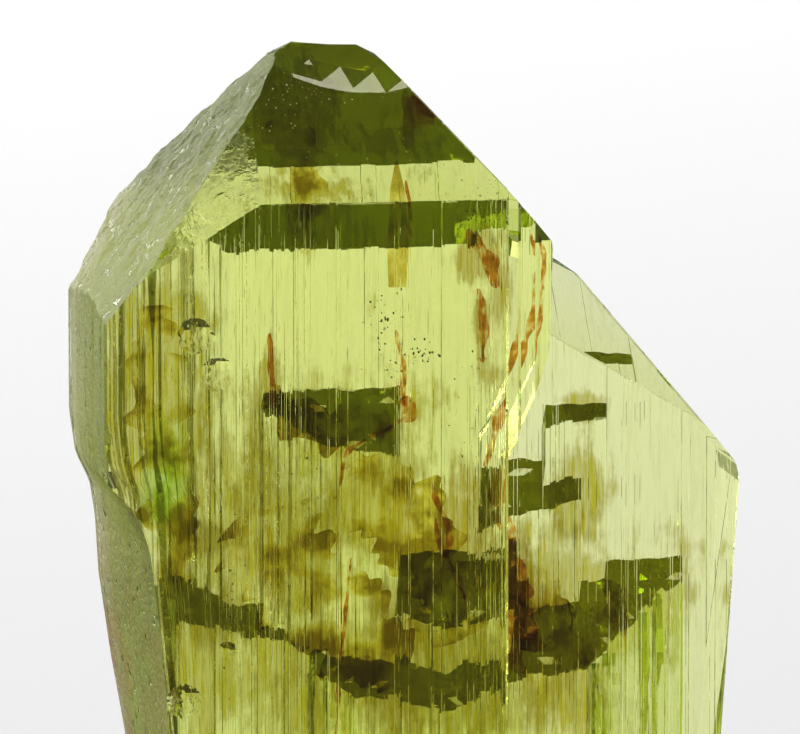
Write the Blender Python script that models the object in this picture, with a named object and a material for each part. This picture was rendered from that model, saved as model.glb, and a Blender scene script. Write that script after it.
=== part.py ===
"""Olivine: two gem crystals that grew side by side into one solid, cut off flat at the root.

The crystal's c axis is +Z, its a axis faces -Y and its b axis runs along X. Depths are measured
from the broad front face, and the solid is moved to put the origin at the middle of its bottom.
Sizes are in millimetres and become metres where a mesh is made.
"""
import math
import random

import bmesh
import bpy
from mathutils import Matrix, Vector

MM = 0.001

# Prism of the main crystal, from its left side face to the step down to its neighbour.
MAIN_LEFT = -11.03
MAIN_RIGHT = 2.62
MAIN_DEPTH = 10.3
BLANK_TOP = 34.0

# Height of the ledge where the upright front face turns into the front dome, and the apex ridge.
LEDGE = 25.92
APEX_DEPTH = 4.5
APEX = 30.87

# Slopes of olivine's terminal faces, measured from the horizontal.
DOME_101 = 51.5
PYRAMID_111 = 54.2
PYRAMID_BEARING = 25.0

# Neighbouring crystal, thinner and set back behind the main crystal's front face.
SIDE_LEFT = 1.2
SIDE_RIGHT = 11.4
SIDE_FRONT = 2.5
SIDE_BACK = 8.5

# Later growth on the back, which makes the solid thicker towards the root: the wall it grew on,
# its top on that wall, then the x and the depth beyond the wall of its corners, right to left.
GROWTH_STEPS = [
    ("cloud_step", MAIN_DEPTH, 18.9, [(0.0, 2.0), (-2.3, 1.7), (-4.7, 0.7)], 31),
    ("root_step", MAIN_DEPTH, 13.2, [(4.2, 1.9), (1.8, 2.3), (-1.2, 1.5)], 32),
    ("side_step", SIDE_BACK, 12.8, [(9.75, 0.6), (6.8, 3.3), (3.0, 3.7)], 33),
    ("high_step", SIDE_BACK, 18.2, [(7.1, 0.5), (5.0, 0.7)], 36),
    ("middle_step", SIDE_BACK, 16.3, [(6.3, 1.2), (4.4, 1.6), (2.6, 2.0)], 37),
    ("low_step", MAIN_DEPTH, 11.6, [(-3.0, 1.4), (-5.2, 1.0), (-7.8, 0.4)], 34),
    ("foot_step", 12.0, 9.6, [(4.6, 1.0), (2.2, 1.7), (-1.2, 1.3), (-2.8, 0.5)], 35),
]
DEEPEST = 13.7
CENTRE = Vector((0.0, DEEPEST / 2, 0.0))

# How far the etched left side draws in towards the root: height, at the front, at the back.
LEFT_TAPER = [
    (0.0, 2.40, 2.50),
    (6.6, 2.15, 1.90),
    (9.6, 2.05, 1.25),
    (12.5, 1.75, 0.80),
    (14.4, 1.50, 0.72),
    (15.6, 1.10, 0.60),
    (16.6, 0.10, 0.25),
    (18.1, 0.00, 0.00),
    (BLANK_TOP, 0.00, 0.00),
]
TAPER_REACH = -6.5


def facing(slope, bearing):
    """Outward direction of a face: slope from the horizontal, bearing 0 to the front, 90 right."""
    tilt = math.radians(slope)
    turn = math.radians(bearing)
    return Vector((
        math.sin(tilt) * math.sin(turn),
        -math.sin(tilt) * math.cos(turn),
        math.cos(tilt),
    ))


def stairs(start, end, count, swing, rng):
    """Outline points from start up to end: narrow flats along the face, joined by steep risers.

    The flats lie up to swing further in than the straight line between the two ends.
    """
    start = Vector(start)
    along = Vector(end) - start
    inward = Vector((-along.y, along.x)).normalized()
    places = [0.0] + sorted(rng.uniform(0.01, 0.97) for _ in range(count)) + [1.0]
    points = [start]
    level = 0.0
    for left, right in zip(places[1:], places[2:]):
        previous = level
        level = rng.uniform(0.0, 1.0) * swing
        if right - left < 0.008:
            continue
        points.append(start + along * left + inward * previous)
        points.append(start + along * (left + 0.0035) + inward * level)
    return points


def left_shift(x, depth, taper):
    """Movement to the right of a point of the main outline at one height of the taper."""
    _, at_front, at_back = taper
    share = depth / MAIN_DEPTH
    reach = max(0.0, (TAPER_REACH - x) / (TAPER_REACH - MAIN_LEFT))
    return reach * (at_front + (at_back - at_front) * share)


def stack(rings):
    """A closed body from rings of the same number of points, bottom ring first."""
    body = bmesh.new()
    layers = [[body.verts.new((point - CENTRE) * MM) for point in ring] for ring in rings]
    body.faces.new(reversed(layers[0]))
    body.faces.new(layers[-1])
    for lower, upper in zip(layers, layers[1:]):
        for index, corner in enumerate(lower):
            following = (index + 1) % len(lower)
            body.faces.new((corner, lower[following], upper[following], upper[index]))
    return body


def column(outline, bottom, top):
    """An upright block with one outline."""
    return stack([[Vector((x, depth, height)) for x, depth in outline] for height in (bottom, top)])


def cut(body, slope, bearing, through):
    """Cuts one crystal face and closes the body again."""
    geometry = body.verts[:] + body.edges[:] + body.faces[:]
    result = bmesh.ops.bisect_plane(
        body, geom=geometry, dist=1e-7, plane_co=(Vector(through) - CENTRE) * MM,
        plane_no=facing(slope, bearing), clear_outer=True,
    )
    rim = [item for item in result["geom_cut"] if isinstance(item, bmesh.types.BMEdge)]
    bmesh.ops.contextual_create(body, geom=rim)


def make_object(name, body):
    """Turns a bmesh into an object with flat, outward faces."""
    bmesh.ops.triangulate(body, faces=body.faces[:], ngon_method="BEAUTY")
    bmesh.ops.recalc_face_normals(body, faces=body.faces[:])
    mesh = bpy.data.meshes.new(name)
    body.to_mesh(mesh)
    body.free()
    thing = bpy.data.objects.new(name, mesh)
    bpy.context.collection.objects.link(thing)
    return thing


def combine(target, helper, operation):
    """Joins a helper to the target or cuts it away, and keeps the helper out of the render."""
    step = target.modifiers.new(helper.name, "BOOLEAN")
    step.operation = operation
    step.solver = "EXACT"
    step.object = helper
    helper.hide_render = True
    helper.display_type = "WIRE"


def main_crystal():
    """The tall crystal, with a striated prism, two domes, one pyramid face and a rounded apex."""
    rng = random.Random(21)
    front_left = (MAIN_LEFT, 0.0)
    front_right = (MAIN_RIGHT, 0.0)
    back_right = (MAIN_RIGHT, MAIN_DEPTH)
    back_bend = (-5.9, MAIN_DEPTH)
    back_left = (MAIN_LEFT, 8.2)
    outline = stairs(front_left, front_right, 30, 0.09, rng)
    outline += stairs(front_right, back_right, 4, 0.06, rng)
    outline += stairs(back_right, back_bend, 12, 0.12, rng)
    outline += stairs(back_bend, back_left, 16, 0.85, rng)
    outline += stairs(back_left, front_left, 6, 0.07, rng)
    rings = []
    for taper in LEFT_TAPER:
        ring = [
            Vector((point.x + left_shift(point.x, point.y, taper), point.y, taper[0]))
            for point in outline
        ]
        rings.append(ring)
    body = stack(rings)
    cut(body, DOME_101, 0.0, (0.0, 0.0, LEDGE))
    cut(body, DOME_101, 180.0, (0.0, APEX_DEPTH, APEX))
    cut(body, PYRAMID_111, -PYRAMID_BEARING, (-7.0, 0.0, 25.19))
    cut(body, 51.4, -82.8, (-7.14, 2.99, 27.31))
    cut(body, 53.6, -89.5, (-10.2, 0.15, 23.85))
    cut(body, 61.0, -94.1, (-10.7, 10.05, 22.6))
    cut(body, 47.9, 90.0, (3.55, 0.0, 25.23))
    cut(body, 29.5, 79.8, (-2.06, APEX_DEPTH, APEX))
    cut(body, 27.1, -95.6, (-4.00, APEX_DEPTH, APEX))
    cut(body, 24.0, 175.0, (-3.0, APEX_DEPTH, APEX - 0.02))
    return make_object("olivine_crystal", body)


def shoulder_rib():
    """The fluted shoulder right of the front face, broken off along a slant below."""
    front = [(1.2, 0.20), (2.30, 0.07), (2.50, 0.35), (2.96, 0.17), (3.12, 0.53),
             (3.62, 0.63), (3.90, 0.97), (4.30, 1.35)]
    outline = front + [(4.52, 2.1), (4.50, 6.5), (4.36, 7.0), (4.42, 9.2), (3.7, 9.72), (1.2, 9.82)]
    body = column(outline, 12.0, BLANK_TOP)
    cut(body, DOME_101, 0.0, (0.0, 0.06, LEDGE))
    cut(body, DOME_101, 180.0, (0.0, APEX_DEPTH - 0.06, APEX))
    cut(body, 47.9, 90.0, (3.52, 0.0, 25.23))
    cut(body, 94.3, 90.0, (4.36, 0.0, 22.6))
    cut(body, 115.7, 90.0, (3.94, 0.0, 19.9))
    return make_object("shoulder_rib", body)


def side_crystal():
    """The shorter, paler crystal that grew against the main one's right side."""
    rng = random.Random(8)
    front_left = (SIDE_LEFT, SIDE_FRONT)
    front_right = (SIDE_RIGHT, SIDE_FRONT)
    back_right = (SIDE_RIGHT, SIDE_BACK)
    back_left = (SIDE_LEFT, SIDE_BACK)
    outline = stairs(front_left, front_right, 20, 0.05, rng)
    outline += stairs(front_right, back_right, 4, 0.05, rng)
    outline += stairs(back_right, back_left, 12, 0.08, rng)
    outline.append(Vector(back_left))
    body = column(outline, 0.0, 28.0)
    cut(body, PYRAMID_111, PYRAMID_BEARING, (7.26, SIDE_FRONT, 19.4))
    cut(body, 27.6, 90.0, (5.74, 0.0, 22.80))
    cut(body, 51.0, 90.0, (7.0, 0.0, 21.31))
    cut(body, 64.0, 90.0, (10.55, 0.0, 17.15))
    cut(body, 94.0, 90.0, (11.0, 0.0, 15.7))
    return make_object("side_crystal", body)


def growth_step(name, wall, top, corners, seed):
    """A later layer on the back: a stepped slab whose own dome starts at the wall behind.

    The corners give its x and its depth beyond the wall, from right to left.
    """
    rng = random.Random(seed)
    places = [Vector((x, wall + beyond)) for x, beyond in corners]
    outline = [Vector((places[-1].x, wall - 2.5)), Vector((places[0].x, wall - 2.5))]
    for right, left in zip(places, places[1:]):
        outline += stairs(right, left, 6, 0.4, rng)
    outline.append(places[-1])
    body = column(outline, 0.0, top + 3.0)
    cut(body, DOME_101, 180.0, (0.0, wall, top))
    return make_object(name, body)


def scoops():
    """Balls that leave the conchoidal chips: a wide one on the apex, others down the edges."""
    chips = [
        # centre x, depth, height and radius
        (-1.63, -4.59, 41.26, 14.0),
        (4.95, -0.05, 24.55, 0.95),
        (-11.9, -0.75, 18.2, 1.05),
        (-8.0, -1.30, 21.6, 1.45),
        (-7.2, -2.10, 20.3, 2.20),
        (-11.9, 10.0, 12.0, 2.30),
        (11.9, 1.85, 11.4, 1.05),
    ]
    body = bmesh.new()
    for x, depth, height, radius in chips:
        place = Matrix.Translation((Vector((x, depth, height)) - CENTRE) * MM)
        bmesh.ops.create_icosphere(body, subdivisions=4, radius=radius * MM, matrix=place)
    return make_object("scoops", body)


def etch_pits():
    """Small pointed pits, thickest along the ledge and the crest, as etching leaves them."""
    rng = random.Random(5)
    body = bmesh.new()
    rows = [
        # slope of the face, from x to x, from height to height, count
        (90.0, -10.0, -6.5, 17.0, 24.0, 7),
        (90.0, -2.5, 1.8, 19.0, 22.5, 7),
        (90.0, -6.0, 1.5, 8.0, 16.5, 8),
        (DOME_101, -5.5, 0.4, 26.3, 28.9, 9),
    ]
    taken = []
    for slope, x_from, x_to, z_from, z_to, count in rows:
        outward = facing(slope, 0.0)
        for _ in range(count):
            x = rng.uniform(x_from, x_to)
            height = rng.uniform(z_from, z_to)
            size = rng.uniform(0.16, 0.30)
            if any(math.hypot(x - other[0], height - other[1]) < 0.8 for other in taken):
                continue
            taken.append((x, height))
            depth = (height - LEDGE) / math.tan(math.radians(slope)) if slope < 90.0 else 0.0
            middle = Vector((x, depth, height)) + outward * 0.25 - CENTRE
            turn = (-outward).to_track_quat("Z", "Y").to_matrix().to_4x4()
            place = Matrix.Translation(middle * MM) @ turn
            bmesh.ops.create_cone(
                body, cap_ends=True, segments=6, radius1=size * 1.6 * MM, radius2=0.02 * MM,
                depth=size * 3.0 * MM, matrix=place,
            )
    return make_object("etch_pits", body)


def finish():
    """Clear yellow-green gem material."""
    material = bpy.data.materials.new("gem_olivine")
    material.use_nodes = True
    shader = material.node_tree.nodes["Principled BSDF"]
    shader.inputs["Base Color"].default_value = (0.55, 0.68, 0.18, 1.0)
    shader.inputs["Roughness"].default_value = 0.12
    shader.inputs["Metallic"].default_value = 0.0
    shader.inputs["IOR"].default_value = 1.67
    shader.inputs["Transmission Weight"].default_value = 1.0
    return material


for old in list(bpy.data.objects):
    bpy.data.objects.remove(old, do_unlink=True)

crystal = main_crystal()
crystal.data.materials.append(finish())
combine(crystal, shoulder_rib(), "UNION")
combine(crystal, side_crystal(), "UNION")
for name, wall, top, corners, seed in GROWTH_STEPS:
    combine(crystal, growth_step(name, wall, top, corners, seed), "UNION")
combine(crystal, scoops(), "DIFFERENCE")
combine(crystal, etch_pits(), "DIFFERENCE")
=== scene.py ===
import math
import random

import bpy
from mathutils import Matrix, Vector, noise


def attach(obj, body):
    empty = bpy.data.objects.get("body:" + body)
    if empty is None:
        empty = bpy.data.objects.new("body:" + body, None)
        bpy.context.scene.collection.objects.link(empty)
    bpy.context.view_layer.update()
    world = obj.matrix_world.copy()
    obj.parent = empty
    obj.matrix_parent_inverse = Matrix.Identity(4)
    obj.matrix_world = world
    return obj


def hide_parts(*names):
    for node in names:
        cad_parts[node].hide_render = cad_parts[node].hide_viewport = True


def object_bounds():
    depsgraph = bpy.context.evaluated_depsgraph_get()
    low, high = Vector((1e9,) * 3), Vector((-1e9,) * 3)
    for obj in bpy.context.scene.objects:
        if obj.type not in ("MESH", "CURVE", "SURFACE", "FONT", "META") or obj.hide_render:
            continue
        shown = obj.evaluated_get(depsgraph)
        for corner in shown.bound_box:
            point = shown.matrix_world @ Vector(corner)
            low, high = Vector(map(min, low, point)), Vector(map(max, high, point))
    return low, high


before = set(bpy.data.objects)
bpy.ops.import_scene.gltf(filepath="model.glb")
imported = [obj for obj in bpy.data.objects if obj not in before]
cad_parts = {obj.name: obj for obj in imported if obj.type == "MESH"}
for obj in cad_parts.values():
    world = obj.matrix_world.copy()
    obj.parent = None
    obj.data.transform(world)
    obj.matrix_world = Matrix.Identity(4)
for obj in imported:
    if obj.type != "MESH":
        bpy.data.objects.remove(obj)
CAD_LOW, CAD_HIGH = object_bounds()

# The main crystal. A clear olivine prism that grew upwards, its walls ridged by the edges of the
# growth layers and its top closed by flat crystal faces. It is wrapped from a flat grid, a line
# for each ridge, and then cleaved along each face. Lengths are in millimetres until they are placed.
MM = 0.001
FRONT = CAD_LOW.y / MM
MAIN_LEFT = CAD_LOW.x / MM
MAIN_RIGHT = 2.62
MAIN_DEPTH = 10.3
# The foot and top of each uncut blank, and the lowest height that the photograph shows.
BLANK_FOOT = -0.6
BLANK_TOP = 34.0
SEEN_FROM = 6.6
# The ledge where the front dome starts, and the crest above it.
LEDGE = 25.92
APEX_DEPTH = 4.5
APEX = 30.87
# Slopes of two of olivine's crystal faces, in degrees from the horizontal.
DOME_101 = 51.5
PYRAMID_111 = 54.2
# Growth layers: width of the riser between two, how deep they stand, and their waves.
RISER = 0.018
LAYER_STANDS = (0.25, 0.5, 1.0)
CROWDED_SPREAD = 0.45
SLOW_WAVE = 4.5
FINE_WAVE = 0.7
FINE_SHARE = 0.16
FINE_LIMIT = 0.06
MERGE_DISTANCE = 1e-8
SAME_LEVEL = 1e-6
# The etched faces: how many lumps and finer lumps to a millimetre, and the cutting slab.
LUMPS = 1.1
FINE_LUMPS = 3.7
SLAB_THICKNESS = 8.0
LEFT_TAPER = [
    # height, shift at the front, shift at the back
    (0.0, 2.40, 2.50),
    (SEEN_FROM, 2.15, 1.90),
    (9.6, 2.05, 1.25),
    (12.5, 1.75, 0.80),
    (14.4, 1.50, 0.72),
    (15.6, 1.10, 0.60),
    (16.6, 0.10, 0.25),
    (18.1, 0.00, 0.00),
    (BLANK_TOP, 0.00, 0.00),
]
TAPER_REACH = -6.5


def at(x, depth, height):
    """A point of the crystal: x and height as they are, depth behind the front face."""
    return Vector((x, FRONT + depth, height)) * MM


def facing(slope, bearing):
    """Outward direction of a face: slope from the horizontal, bearing 0 to the front, 90 right."""
    tilt = math.radians(slope)
    turn = math.radians(bearing)
    return Vector((
        math.sin(tilt) * math.sin(turn),
        -math.sin(tilt) * math.cos(turn),
        math.cos(tilt),
    ))


def ridged_wall(start, end, narrow, wide, swing, seed, crowded=()):
    """Grid lines along one wall: a pair for each growth layer, which stands at its own level.

    In the crowded stretches, each from x to x, the layers are at their narrowest.
    """
    rng = random.Random(seed)
    start = Vector(start)
    along = Vector(end) - start
    length = along.length
    along /= length
    inward = Vector((-along.y, along.x))
    lines = []
    place = 0.0
    while place < length - 2.0 * RISER:
        x = (start + along * place).x
        close = any(low < x < high for low, high in crowded)
        spread = rng.random() ** 1.5 * (CROWDED_SPREAD if close else 1.0)
        width = narrow * (wide / narrow) ** spread
        last = min(place + width, length) - RISER
        key = rng.uniform(0.0, 900.0)
        deep = swing * (1.0 if close else rng.choice(LAYER_STANDS))
        deep = min(deep, 0.5 * place, 0.5 * (length - RISER - last))
        for spot in (place, last):
            lines.append((start + along * spot, inward, deep, key))
        place = last + RISER
    return lines


def left_shift(x, depth, height):
    """How far the etched left side draws in to the right, growing towards the root."""
    for lower, upper in zip(LEFT_TAPER, LEFT_TAPER[1:]):
        if height <= upper[0]:
            break
    share = (height - lower[0]) / (upper[0] - lower[0])
    at_front = lower[1] + (upper[1] - lower[1]) * share
    at_back = lower[2] + (upper[2] - lower[2]) * share
    reach = max(0.0, (TAPER_REACH - x) / (TAPER_REACH - MAIN_LEFT))
    return reach * (at_front + (at_back - at_front) * depth / MAIN_DEPTH)


def layer_depth(swing, key, height):
    """How far a growth layer stands back at one height: slow changes, and a fine wave on them."""
    slow = 0.5 + 0.5 * noise.noise(Vector((key, height / SLOW_WAVE, 1.7)))
    fine = noise.noise(Vector((key, height / FINE_WAVE, 8.3)))
    return swing * slow + FINE_SHARE * min(swing, FINE_LIMIT) * fine


def wrap_sheet(name, lines, heights, shift=None):
    """Folds a flat grid into a closed column with a grid line for each outline point and height."""
    bpy.ops.object.select_all(action="DESELECT")
    bpy.ops.mesh.primitive_grid_add(
        x_subdivisions=len(lines), y_subdivisions=len(heights) - 1, size=1.0,
    )
    piece = bpy.context.object
    piece.name = name
    for corner in piece.data.vertices:
        point, inward, swing, key = lines[round((corner.co.x + 0.5) * len(lines)) % len(lines)]
        height = heights[round((corner.co.y + 0.5) * (len(heights) - 1))]
        spot = point + inward * layer_depth(swing, key, height)
        moved = shift(spot.x, spot.y, height) if shift else 0.0
        corner.co = at(spot.x + moved, spot.y, height)
    bpy.ops.object.mode_set(mode="EDIT")
    bpy.ops.mesh.select_all(action="SELECT")
    bpy.ops.mesh.remove_doubles(threshold=MERGE_DISTANCE)
    bpy.ops.mesh.fill_holes(sides=0)
    bpy.ops.mesh.normals_make_consistent(inside=False)
    bpy.ops.object.mode_set(mode="OBJECT")
    return piece


def cleave(piece, faces):
    """Cuts a piece flat along each face, given as slope, bearing and a point it goes through."""
    bpy.ops.object.mode_set(mode="EDIT")
    for slope, bearing, through in faces:
        bpy.ops.mesh.select_all(action="SELECT")
        bpy.ops.mesh.bisect(
            plane_co=at(*through), plane_no=facing(slope, bearing),
            use_fill=True, clear_outer=True, threshold=MERGE_DISTANCE,
        )
    bpy.ops.object.mode_set(mode="OBJECT")


def apply_boolean(target, helper, operation):
    """Unites a helper with the target or cuts it away, and removes the helper."""
    step = target.modifiers.new("join", "BOOLEAN")
    step.operation = operation
    step.solver = "MANIFOLD"
    step.object = helper
    bpy.ops.object.select_all(action="DESELECT")
    bpy.context.view_layer.objects.active = target
    target.select_set(True)
    bpy.ops.object.modifier_apply(modifier=step.name)
    bpy.data.objects.remove(helper)


def etched_cutter(face, middle, width, height, cell, coarse, fine):
    """A slab to cut a face with, whose inner side is roughened by low lumps and finer ones."""
    slope, bearing, through = face
    outward = facing(slope, bearing)
    across = Vector((0.0, 0.0, 1.0)).cross(outward).normalized()
    upwards = outward.cross(across)
    bpy.ops.object.select_all(action="DESELECT")
    bpy.ops.mesh.primitive_grid_add(
        x_subdivisions=round(width / cell), y_subdivisions=round(height / cell), size=1.0,
    )
    slab = bpy.context.object
    plane_point = at(*through)
    centre = at(*middle)
    centre -= outward * (centre - plane_point).dot(outward)
    for corner in slab.data.vertices:
        spot = centre + (across * corner.co.x * width + upwards * corner.co.y * height) * MM
        lump = noise.noise(spot / MM * LUMPS) * coarse + noise.noise(spot / MM * FINE_LUMPS) * fine
        corner.co = spot + outward * (lump - coarse * 0.5) * MM
    bpy.ops.object.mode_set(mode="EDIT")
    bpy.ops.mesh.select_all(action="SELECT")
    thickness = outward * SLAB_THICKNESS * MM
    bpy.ops.mesh.extrude_region_move(TRANSFORM_OT_translate={"value": thickness})
    bpy.ops.mesh.select_all(action="SELECT")
    bpy.ops.mesh.normals_make_consistent(inside=False)
    bpy.ops.mesh.quads_convert_to_tris(quad_method="SHORTEST_DIAGONAL", ngon_method="BEAUTY")
    bpy.ops.object.mode_set(mode="OBJECT")
    return slab


def triangulate(piece):
    """Splits every face into triangles, so that the unions and cuts have flat faces to work on."""
    bpy.ops.object.select_all(action="DESELECT")
    bpy.context.view_layer.objects.active = piece
    piece.select_set(True)
    bpy.ops.object.mode_set(mode="EDIT")
    bpy.ops.mesh.select_all(action="SELECT")
    bpy.ops.mesh.quads_convert_to_tris(quad_method="SHORTEST_DIAGONAL", ngon_method="BEAUTY")
    bpy.ops.object.mode_set(mode="OBJECT")


def worn_edge(face, neighbour, depth):
    """The narrow face that wear has left on the edge between two faces, depth below the edge."""
    one = facing(face[0], face[1])
    other = facing(neighbour[0], neighbour[1])
    level_one = one.dot(at(*face[2]) / MM)
    level_other = other.dot(at(*neighbour[2]) / MM)
    lean = one.dot(other)
    share_one = (level_one - level_other * lean) / (1.0 - lean * lean)
    share_other = (level_other - level_one * lean) / (1.0 - lean * lean)
    middle = (one + other).normalized()
    point = one * share_one + other * share_other - middle * depth
    slope = math.degrees(math.acos(middle.z))
    bearing = math.degrees(math.atan2(middle.x, -middle.y))
    return slope, bearing, (point.x, point.y - FRONT, point.z)


def ring_heights(low, high, fine_low, fine_high, step, coarse):
    """Heights of the grid's rings, close together from fine_low to fine_high."""
    heights = [low]
    while heights[-1] < high - SAME_LEVEL:
        here = heights[-1]
        near = fine_low - SAME_LEVEL <= here < fine_high
        heights.append(min(high, here + (step if near else coarse)))
    return heights


front_left = (MAIN_LEFT, 0.0)
front_right = (MAIN_RIGHT, 0.0)
back_right = (MAIN_RIGHT, MAIN_DEPTH)
back_bend = (-5.9, MAIN_DEPTH)
back_left = (MAIN_LEFT, 8.2)
# Each wall: from, to, narrowest and widest layer, how deep they stand, seed, and crowded stretches.
lines = ridged_wall(front_left, front_right, 0.05, 0.75, 0.055, 3, [(-7.6, -4.2), (1.0, 2.6)])
lines += ridged_wall(front_right, back_right, 0.2, 1.2, 0.06, 4)
lines += ridged_wall(back_right, back_bend, 0.10, 1.1, 0.12, 5)
lines += ridged_wall(back_bend, back_left, 0.08, 0.5, 0.55, 6)
lines += ridged_wall(back_left, front_left, 0.15, 0.9, 0.08, 7)
heights = ring_heights(BLANK_FOOT, BLANK_TOP, SEEN_FROM, 26.0, 0.3, 0.7)
main = wrap_sheet("main_crystal", lines, heights, left_shift)

# Each face is its slope, its bearing, and a point on it as x, depth and height.
front_wall = (90.0, 0.0, (0.0, 0.0, 0.0))
left_wall = (90.0, -90.0, (MAIN_LEFT, 0.0, 0.0))
right_wall = (90.0, 90.0, (MAIN_RIGHT, 0.0, 0.0))
front_dome = (DOME_101, 0.0, (0.0, 0.0, LEDGE))
back_dome = (DOME_101, 180.0, (0.0, APEX_DEPTH, APEX))
corner_face = (PYRAMID_111, -25.0, (-7.0, 0.0, 25.19))
upper_left = (51.4, -82.8, (-7.14, 2.99, 27.31))
middle_left = (53.6, -89.5, (-10.2, 0.15, 23.85))
lower_left = (61.0, -94.1, (-10.7, 10.05, 22.6))
right_face = (47.9, 90.0, (3.55, 0.0, 25.23))
right_top = (29.5, 79.8, (-2.06, APEX_DEPTH, APEX))
left_top = (27.1, -95.6, (-4.00, APEX_DEPTH, APEX))
back_top = (24.0, 175.0, (-3.0, APEX_DEPTH, APEX - 0.02))
# The edges between two faces that have worn flat, and how deep.
WORN = [
    worn_edge(front_dome, front_wall, 0.018),
    worn_edge(corner_face, front_wall, 0.012),
    worn_edge(corner_face, front_dome, 0.005),
    worn_edge(upper_left, corner_face, 0.025),
    worn_edge(upper_left, front_dome, 0.03),
    worn_edge(middle_left, corner_face, 0.03),
    worn_edge(front_dome, right_face, 0.03),
    worn_edge(front_dome, right_top, 0.03),
    worn_edge(left_wall, front_wall, 0.07),
    worn_edge(right_wall, front_wall, 0.08),
]
cleave(main, [
    front_dome, back_dome, corner_face, upper_left, middle_left, lower_left,
    right_face, right_top, left_top, back_top, *WORN,
])
triangulate(main)
for etched in (
    # face, middle, width and height of the etched stretch, its grid cell, lumps and finer lumps
    (upper_left, (-7.6, 4.0, 27.0), 12.0, 9.0, 0.16, 0.10, 0.045),
    (middle_left, (-9.9, 4.0, 24.0), 12.0, 7.0, 0.16, 0.10, 0.05),
    (lower_left, (-10.7, 8.5, 22.0), 10.0, 8.0, 0.18, 0.12, 0.06),
    (front_dome, (-1.6, 2.2, 28.4), 11.0, 8.6, 0.30, 0.006, 0.0015),
    (corner_face, (-7.0, 1.5, 26.4), 7.0, 8.0, 0.25, 0.012, 0.004),
):
    apply_boolean(main, etched_cutter(*etched), "DIFFERENCE")

# The shoulder. A narrow, fluted rib of the same crystal, which stands a little back from the
# front face on its right and is broken off along a slant below, above the shorter crystal.
FLUTES = [
    # x and depth of each flute's edge, left to right along the front
    (1.2, 0.20), (2.30, 0.07), (2.50, 0.35), (2.96, 0.17), (3.12, 0.53),
    (3.62, 0.63), (3.90, 0.97), (4.30, 1.35), (4.52, 2.1), (4.50, 6.5),
    (4.36, 7.0), (4.42, 9.2), (3.7, 9.72), (1.2, 9.82),
]


def outlined(corners, narrow, wide, swing, seed):
    """Grid lines along several walls in turn, back to the first corner."""
    lines = []
    for index, corner in enumerate(corners):
        following = corners[(index + 1) % len(corners)]
        lines += ridged_wall(corner, following, narrow, wide, swing, seed + index)
    return lines


heights = ring_heights(12.0, BLANK_TOP, 12.0, 26.0, 0.3, 0.9)
shoulder = wrap_sheet("shoulder", outlined(FLUTES, 0.12, 0.8, 0.03, 41), heights)
rib_dome = (DOME_101, 0.0, (0.0, 0.06, LEDGE))
rib_right = (47.9, 90.0, (3.52, 0.0, 25.23))
rib_side = (94.3, 90.0, (4.36, 0.0, 22.6))
rib_break = (115.7, 90.0, (3.94, 0.0, 19.9))
rib_wear = [worn_edge(rib_right, rib_side, 0.06), worn_edge(rib_right, rib_dome, 0.04)]
WORN += rib_wear
cleave(shoulder, [
    rib_dome, (DOME_101, 180.0, (0.0, APEX_DEPTH - 0.06, APEX)), rib_right, rib_side, rib_break,
    *rib_wear,
])
triangulate(shoulder)

# The shorter crystal. It grew against the right side of the main one, thinner and set back from
# the front, with one large slanting face at the top and an upright back.
SIDE_LEFT = 1.2
SIDE_RIGHT = 11.4
SIDE_FRONT = 2.5
SIDE_BACK = 8.5
lines = ridged_wall((SIDE_LEFT, SIDE_FRONT), (SIDE_RIGHT, SIDE_FRONT), 0.06, 0.8, 0.035, 11)
lines += ridged_wall((SIDE_RIGHT, SIDE_FRONT), (SIDE_RIGHT, SIDE_BACK), 0.2, 1.2, 0.05, 12)
lines += ridged_wall((SIDE_RIGHT, SIDE_BACK), (SIDE_LEFT, SIDE_BACK), 0.12, 1.3, 0.07, 13)
lines += ridged_wall((SIDE_LEFT, SIDE_BACK), (SIDE_LEFT, SIDE_FRONT), 2.0, 3.0, 0.0, 14)
heights = ring_heights(BLANK_FOOT, 28.0, SEEN_FROM, 21.0, 0.3, 0.7)
side = wrap_sheet("side_crystal", lines, heights)
side_wall = (90.0, 0.0, (0.0, SIDE_FRONT, 0.0))
side_face = (PYRAMID_111, 25.0, (7.26, SIDE_FRONT, 19.4))
side_top = (27.6, 90.0, (5.74, 0.0, 22.80))
side_slope = (51.0, 90.0, (7.0, 0.0, 21.31))
side_corner = (64.0, 90.0, (10.55, 0.0, 17.15))
side_edge = (94.0, 90.0, (11.0, 0.0, 15.7))
side_wear = [
    worn_edge(side_face, side_wall, 0.02),
    worn_edge(side_face, side_slope, 0.05),
    worn_edge(side_corner, side_edge, 0.08),
    worn_edge(side_edge, side_wall, 0.05),
]
WORN += side_wear
cleave(side, [side_face, side_top, side_slope, side_corner, side_edge, *side_wear])
triangulate(side)

# The later growth on the back. Each layer stopped growing at its own height, where it ends in the
# same slanting dome face, so it stands on the wall behind as a step with a ragged, ridged edge.
STEP_OVERLAP = 2.5
STEP_SPARE = 3.0
GROWTH_STEPS = [
    # the wall it grew on, its top there, then x and depth beyond the wall, right to left, and seed
    (MAIN_DEPTH, 18.9, [(0.0, 2.0), (-2.3, 1.7), (-4.7, 0.7)], 31),
    (MAIN_DEPTH, 13.2, [(4.2, 1.9), (1.8, 2.3), (-1.2, 1.5)], 32),
    (SIDE_BACK, 12.8, [(9.75, 0.6), (6.8, 3.3), (3.0, 3.7)], 33),
    (SIDE_BACK, 18.2, [(7.1, 0.5), (5.0, 0.7)], 36),
    (SIDE_BACK, 16.3, [(6.3, 1.2), (4.4, 1.6), (2.6, 2.0)], 37),
    (MAIN_DEPTH, 11.6, [(-3.0, 1.4), (-5.2, 1.0), (-7.8, 0.4)], 34),
    (12.0, 9.6, [(4.6, 1.0), (2.2, 1.7), (-1.2, 1.3), (-2.8, 0.5)], 35),
]
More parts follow.
